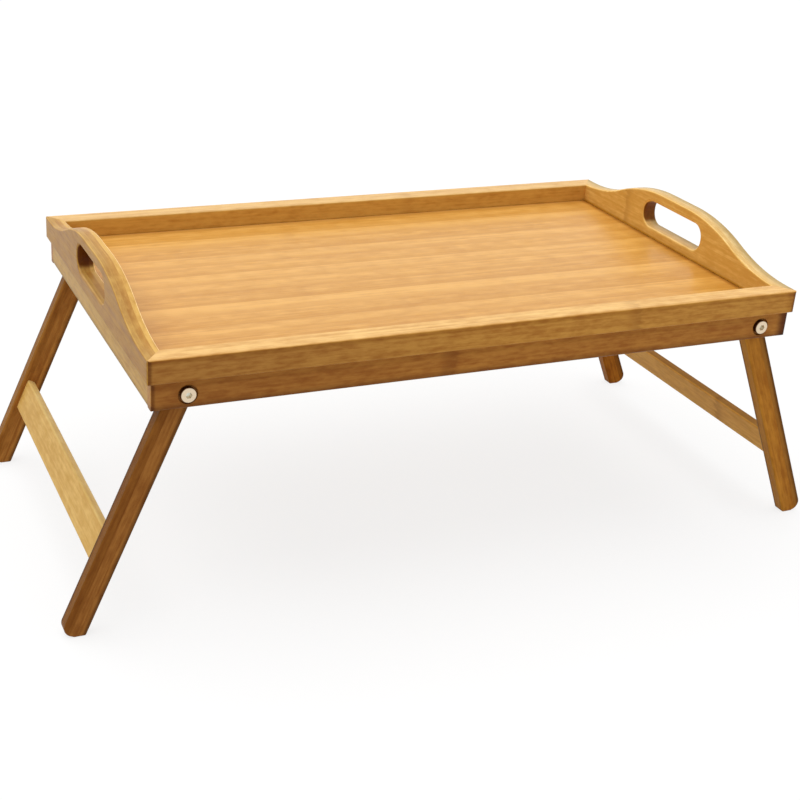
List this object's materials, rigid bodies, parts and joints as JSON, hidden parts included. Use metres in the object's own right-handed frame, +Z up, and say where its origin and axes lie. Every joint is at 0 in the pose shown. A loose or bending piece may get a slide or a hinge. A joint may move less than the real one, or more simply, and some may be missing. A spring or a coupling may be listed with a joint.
{
  "type": "folding tray table",
  "caption": "Rectangular bamboo bed tray with a low raised rim, humped end boards with hand slots, and splayed leg frames that fold flat under the floor.",
  "frame": {"origin": "on the ground under the middle of the tray, legs opened", "axes": "+X along the tray towards its right end, +Y towards the back rail, +Z up"},
  "size_m": [0.6086, 0.3, 0.2265],
  "materials": {
    "bamboo_frame": "satin lacquer",
    "bamboo_floor": "satin lacquer",
    "bamboo_leg": "satin lacquer",
    "dowel_wood": "bare",
    "steel": "bright zinc"
  },
  "bodies": {
    "tray": {"apron_corner_dowels": "dowel_wood", "apron_dowels": "dowel_wood", "back_apron": "bamboo_frame", "back_rail": "bamboo_frame", "front_apron": "bamboo_frame", "front_rail": "bamboo_frame", "left_back_nut_washer": "steel", "left_back_pivot_bolt": "steel", "left_back_pivot_nut": "steel", "left_back_spacer": "steel", "left_end_apron": "bamboo_frame", "left_end_board": "bamboo_frame", "left_front_nut_washer": "steel", "left_front_pivot_bolt": "steel", "left_front_pivot_nut": "steel", "left_front_spacer": "steel", "right_back_nut_washer": "steel", "right_back_pivot_bolt": "steel", "right_back_pivot_nut": "steel", "right_back_spacer": "steel", "right_end_apron": "bamboo_frame", "right_end_board": "bamboo_frame", "right_front_nut_washer": "steel", "right_front_pivot_bolt": "steel", "right_front_pivot_nut": "steel", "right_front_spacer": "steel", "tray_floor": "bamboo_floor"},
    "left_leg_frame": {"left_front_leg": "bamboo_leg", "left_back_leg": "bamboo_leg", "left_stretcher": "bamboo_leg", "left_stretcher_dowels": "dowel_wood"},
    "right_leg_frame": {"right_front_leg": "bamboo_leg", "right_back_leg": "bamboo_leg", "right_stretcher": "bamboo_leg", "right_stretcher_dowels": "dowel_wood"}
  },
  "joints": [
    {"name": "left_leg_fold", "type": "hinge", "parent": "tray", "child": "left_leg_frame", "pos_m": [-0.22279, 0, 0.175], "axis": [0, -1, 0], "range_deg": [0, 113.5]},
    {"name": "right_leg_fold", "type": "hinge", "parent": "tray", "child": "right_leg_frame", "pos_m": [0.22279, 0, 0.175], "axis": [0, 1, 0], "range_deg": [0, 113.5]}
  ]
}
